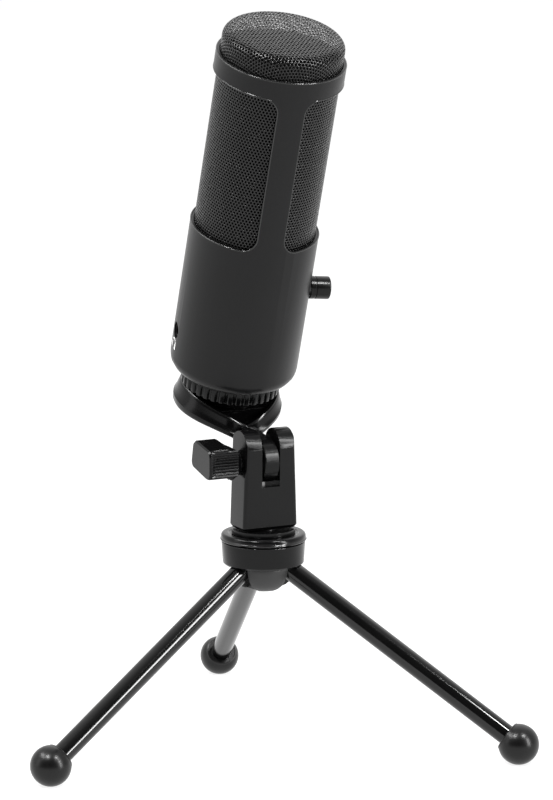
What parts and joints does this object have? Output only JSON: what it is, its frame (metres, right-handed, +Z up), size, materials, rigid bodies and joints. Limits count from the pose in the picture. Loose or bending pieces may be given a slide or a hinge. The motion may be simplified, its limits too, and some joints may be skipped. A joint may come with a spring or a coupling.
{
  "type": "desktop microphone",
  "caption": "Side-address desktop microphone with a perforated head, carried by an offset tilting cradle on a folding tripod stand",
  "frame": {"origin": "middle of the footprint of the three feet, on the surface that the stand rests on", "axes": "+Z up; +Y along the back leg; the other two legs 60 degrees to either side of -Y"},
  "size_m": [0.1964, 0.1721, 0.285],
  "materials": {
    "shell": "satin black paint on an aluminium barrel",
    "grille": "black perforated steel",
    "foam": "dark open-cell foam",
    "knob": "glossy black",
    "stand": "satin black moulding",
    "legs": "glossy black lacquer on steel tube",
    "rubber": "black rubber",
    "steel": "zinc-plated",
    "metal": "blackened metal",
    "inner": "grey nylon",
    "board": "green circuit board"
  },
  "bodies": {
    "stand": {"hub_body": "stand", "hub_collar": "stand", "hub_cap": "stand", "cap_screw": "steel", "collar_screw_1": "steel", "collar_screw_2": "steel", "collar_screw_3": "steel", "leg_pin_1": "steel", "leg_pin_2": "steel", "leg_pin_3": "steel"},
    "left_leg": {"leg_1": "legs", "foot_1": "rubber"},
    "right_leg": {"leg_2": "legs", "foot_2": "rubber"},
    "back_leg": {"leg_3": "legs", "foot_3": "rubber"},
    "post": {"pivot_post": "stand", "pan_bolt": "steel", "pivot_bolt": "steel", "tilt_washer_1": "rubber", "tilt_washer_2": "rubber"},
    "tilt_knob": {"thumb_knob": "stand"},
    "cradle": {"cradle": "stand"},
    "lock_ring": {"lock_ring": "stand"},
    "microphone": {"body_shell": "shell", "side_grille": "grille", "top_grille": "grille", "foam_windscreen": "foam", "mount_spigot": "metal", "spigot_screw_1": "steel", "spigot_screw_2": "steel", "spigot_screw_3": "steel", "retaining_nut": "metal", "chassis": "inner", "front_board": "board", "front_board_screw_1": "steel", "front_board_screw_2": "steel", "rear_board": "board", "rear_board_screw_1": "steel", "rear_board_screw_2": "steel", "volume_control": "metal", "headphone_jack": "knob", "usb_socket": "metal", "capsule": "metal", "capsule_ring": "rubber", "capsule_saddle": "inner"},
    "volume": {"volume_knob": "knob", "volume_shaft": "steel"}
  },
  "joints": [
    {"name": "left_leg_fold", "type": "hinge", "parent": "stand", "child": "left_leg", "pos_m": [-0.00745, -0.03037, 0.07045], "axis": [0.5, -0.866, 0], "range_deg": [0, 50]},
    {"name": "right_leg_fold", "type": "hinge", "parent": "stand", "child": "right_leg", "pos_m": [0.00745, -0.03037, 0.07045], "axis": [0.5, 0.866, 0], "range_deg": [0, 50]},
    {"name": "back_leg_fold", "type": "hinge", "parent": "stand", "child": "back_leg", "pos_m": [0, -0.01748, 0.07045], "axis": [-1, 0, 0], "range_deg": [0, 50]},
    {"name": "post_pan", "type": "hinge", "parent": "stand", "child": "post", "pos_m": [0, -0.02608, 0.0825], "axis": [0, 0, 1], "continuous": true},
    {"name": "tilt_knob_turn", "type": "hinge", "parent": "post", "child": "tilt_knob", "pos_m": [0, -0.02608, 0.1113], "axis": [-0.9617, -0.274, 0], "continuous": true},
    {"name": "mic_tilt", "type": "hinge", "parent": "post", "child": "cradle", "pos_m": [0, -0.02608, 0.1113], "axis": [0.9617, 0.274, 0], "range_deg": [-45, 70]},
    {"name": "lock_ring_turn", "type": "hinge", "parent": "cradle", "child": "lock_ring", "pos_m": [-0.00777, 0.0012, 0.14219], "axis": [0.0883, -0.3099, 0.9466], "continuous": true},
    {"name": "mic_turn", "type": "hinge", "parent": "cradle", "child": "microphone", "pos_m": [-0.00777, 0.0012, 0.14219], "axis": [0.0883, -0.3099, 0.9466], "continuous": true},
    {"name": "volume_turn", "type": "hinge", "parent": "microphone", "child": "volume", "pos_m": [-0.0045, -0.01027, 0.17721], "axis": [0.9944, 0.0836, -0.0654], "range_deg": [-150, 150]}
  ]
}
